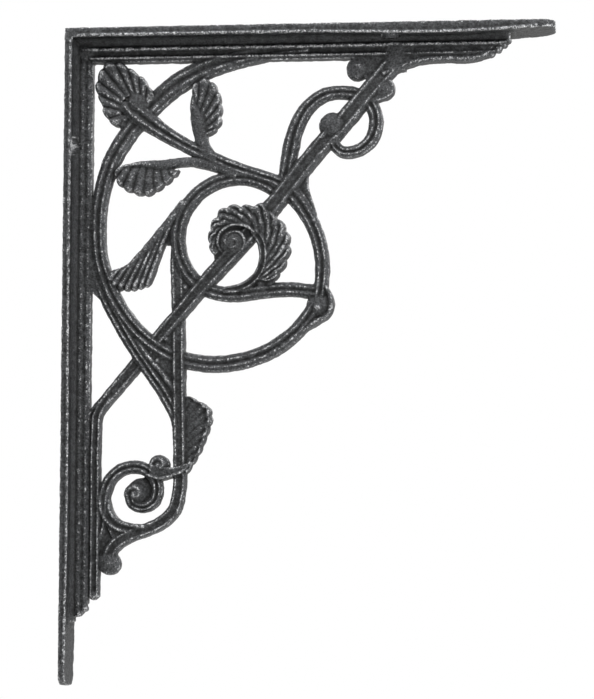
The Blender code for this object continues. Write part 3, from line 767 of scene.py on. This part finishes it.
def black_leaded_iron():
    """Sand-cast grey iron, rubbed with graphite: near black and soft, with shade painted into the
    hollows, a pebbly satin skin, and bright grains along the beads and rims, part wear, part painted
    highlight."""
    material = bpy.data.materials.new("black-leaded grey iron")
    material.use_nodes = True
    tree = material.node_tree
    shader = tree.nodes["Principled BSDF"]
    place = node(tree, "ShaderNodeTexCoord").outputs["Object"]

    grit = node(tree, "ShaderNodeTexNoise", [("Vector", place)], Scale=1 / (grit_size * MM),
                Detail=3.0, Roughness=0.6).outputs["Fac"]
    grain = node(tree, "ShaderNodeTexNoise", [("Vector", place)], Scale=1 / (grain_size * MM),
                 Detail=2.0, Roughness=0.7).outputs["Fac"]
    cloud = node(tree, "ShaderNodeTexNoise", [("Vector", place)], Scale=1 / (cloud_size * MM),
                 Detail=2.0).outputs["Fac"]
    relief = node(tree, "ShaderNodeAttribute", attribute_name="relief").outputs["Fac"]
    hollow = node(tree, "ShaderNodeAttribute", attribute_name="hollow").outputs["Fac"]

    # The graphite, unevenly rubbed, with painted shade in the hollows; inputs 6 and 7 are a mix's two
    # colours
    skin = node(tree, "ShaderNodeValToRGB", [("Fac", hollow)])
    skin.color_ramp.elements[0].position = 0.25
    skin.color_ramp.elements[0].color = linear("#2b2c2d")
    skin.color_ramp.elements[1].position = 0.7
    skin.color_ramp.elements[1].color = linear("#494a4c")
    mottled = node(tree, "ShaderNodeMix", data_type="RGBA", blend_type="MULTIPLY")
    mottled.inputs["Factor"].default_value = 0.5
    tree.links.new(skin.outputs["Color"], mottled.inputs[6])
    tree.links.new(cloud, mottled.inputs[7])

    # Bare metal where a grain of grit stands high on a bead or a rim: partly wear, partly a painted
    # highlight
    wear_and_highlight_level = node(tree, "ShaderNodeMath", [(0, grit), (2, relief)], operation="MULTIPLY_ADD")
    wear_and_highlight_level.inputs[1].default_value = 1.1
    wear_and_highlight_mask = stretched(tree, wear_and_highlight_level.outputs[0], 1.43, 1.8, 0.0, 1.0)
    colour = node(tree, "ShaderNodeMix", [("Factor", wear_and_highlight_mask)], data_type="RGBA")
    tree.links.new(mottled.outputs[2], colour.inputs[6])
    colour.inputs[7].default_value = linear("#cbccce")

    # Lighter and darker grains, and painted shade in the creases beside the beads
    speck = stretched(tree, grain, 0.32, 0.68, 0.35, 1.7)
    painted_crease_shade = stretched(tree, relief, 0.1, 0.42, 0.42, 1.0)
    share = node(tree, "ShaderNodeMath", [(0, speck), (1, painted_crease_shade)], operation="MULTIPLY")
    grained_and_shaded = node(tree, "ShaderNodeVectorMath", [(0, colour.outputs[2]), ("Scale", share.outputs[0])],
                   operation="SCALE")
    tree.links.new(grained_and_shaded.outputs[0], shader.inputs["Base Color"])

    # A satin gloss that breaks up over the grit
    tree.links.new(stretched(tree, grit, 0.0, 1.0, 0.3, 0.52), shader.inputs["Roughness"])
    shader.inputs["Metallic"].default_value = 0.55

    bump = node(tree, "ShaderNodeBump", [("Height", grit)])
    bump.inputs["Distance"].default_value = grit_bump * MM
    bump.inputs["Strength"].default_value = 0.9
    tree.links.new(bump.outputs["Normal"], shader.inputs["Normal"])
    return material


def make_casting():
    """The whole bracket as one skin over all its shapes."""
    casting = bmesh.new()
    plates(casting)
    borders(casting)
    strutwork(casting)
    rings(casting)
    vine(casting)
    shell(casting)
    stem(casting)
    thing = one_skin(casting)
    roughen(thing)
    mark_relief(thing)
    fewer(thing)
    drill(thing)
    paint_hole_glints(thing)
    to_frame(thing)
    thing.data.materials.clear()
    thing.data.materials.append(black_leaded_iron())
    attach(thing, "root")
    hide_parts("bracket")


def plain_material(name, text, roughness):
    """One even colour with no sheen to speak of."""
    material = bpy.data.materials.new(name)
    material.use_nodes = True
    shader = material.node_tree.nodes["Principled BSDF"]
    shader.inputs["Base Color"].default_value = linear(text)
    shader.inputs["Roughness"].default_value = roughness
    return material


def floor():
    """A plain pale floor, well below the bracket."""
    bm = bmesh.new()
    bmesh.ops.create_grid(bm, x_segments=1, y_segments=1, size=floor_reach)
    bmesh.ops.translate(bm, vec=(0, 0, -floor_drop), verts=bm.verts)
    mesh = bpy.data.meshes.new("floor")
    bm.to_mesh(mesh)
    bm.free()
    thing = bpy.data.objects.new("floor", mesh)
    bpy.context.scene.collection.objects.link(thing)
    # Matt board: an even pale ground with no reflection of the iron in it
    mesh.materials.append(plain_material("matt white board", "#f4f4f2", 0.9))


def panel(name, place, size, power, target):
    """A soft light box that faces a point of the bracket."""
    light = bpy.data.lights.new(name, "AREA")
    light.shape = "RECTANGLE"
    light.size, light.size_y = size
    light.energy = power
    thing = bpy.data.objects.new(name, light)
    bpy.context.scene.collection.objects.link(thing)
    thing.location = place
    thing.rotation_euler = (Vector(target) - Vector(place)).to_track_quat("-Z", "Y").to_euler()


def studio():
    """A white tent: bright to the camera, softer on the iron, with light boxes round it."""
    world = bpy.data.worlds.new("white tent")
    bpy.context.scene.world = world
    world.use_nodes = True
    tree = world.node_tree
    tree.nodes.clear()
    seen = node(tree, "ShaderNodeBackground", Color=(1, 1, 1, 1), Strength=1.0)
    cast = node(tree, "ShaderNodeBackground", Color=(1, 1, 1, 1), Strength=0.45)
    ray = node(tree, "ShaderNodeLightPath")
    mix = node(tree, "ShaderNodeMixShader", [(0, ray.outputs["Is Camera Ray"]),
                                             (1, cast.outputs[0]), (2, seen.outputs[0])])
    node(tree, "ShaderNodeOutputWorld", [("Surface", mix.outputs[0])])
    # Each box has its place, its size and its power, and faces the bracket's middle
    middle = (shelf_length / 2 * MM, 0, -0.09)
    panel("box above", (0.0, -0.5, 0.9), (0.9, 0.5), 12, middle)
    panel("box right", (1.0, -0.25, -0.1), (0.4, 1.0), 8, middle)
    panel("box left", (-0.8, -0.3, 0.1), (0.4, 1.0), 1.5, middle)
    panel("box below", (0.7, -0.7, -0.38), (0.5, 0.2), 1.8, middle)
    panel("box behind", (0.5, 0.9, 0.5), (0.6, 0.6), 5, middle)
    bpy.context.scene.view_settings.view_transform = "Standard"


def camera():
    """The photograph's view: from a little to the right and a little below, with a long lens."""
    # Solved from the plates' corners and ends in the photograph; focal is in the photograph's pixels
    azimuth, elevation, roll = math.radians(6.2), math.radians(-6.2), math.radians(0.203)
    distance, focal = 1.5, 3249.1
    photo_height, sensor = 699, 36
    target = Vector((0.10815, 0, high.z - 0.150615))
    back = Vector((math.sin(azimuth) * math.cos(elevation),
                   -math.cos(azimuth) * math.cos(elevation), math.sin(elevation)))
    right = Vector((0, 0, 1)).cross(back).normalized()
    up = back.cross(right)
    turned_right = right * math.cos(roll) + up * math.sin(roll)
    turned_up = up * math.cos(roll) - right * math.sin(roll)
    turn = Matrix((turned_right, turned_up, back)).transposed().to_4x4()
    data = bpy.data.cameras.new("camera")
    data.sensor_width = sensor
    data.lens = focal * sensor / photo_height
    thing = bpy.data.objects.new("camera", data)
    bpy.context.scene.collection.objects.link(thing)
    thing.matrix_world = Matrix.Translation(target + back * distance) @ turn
    bpy.context.scene.camera = thing


camera()
make_casting()
floor()
studio()
bpy.context.view_layer.update()
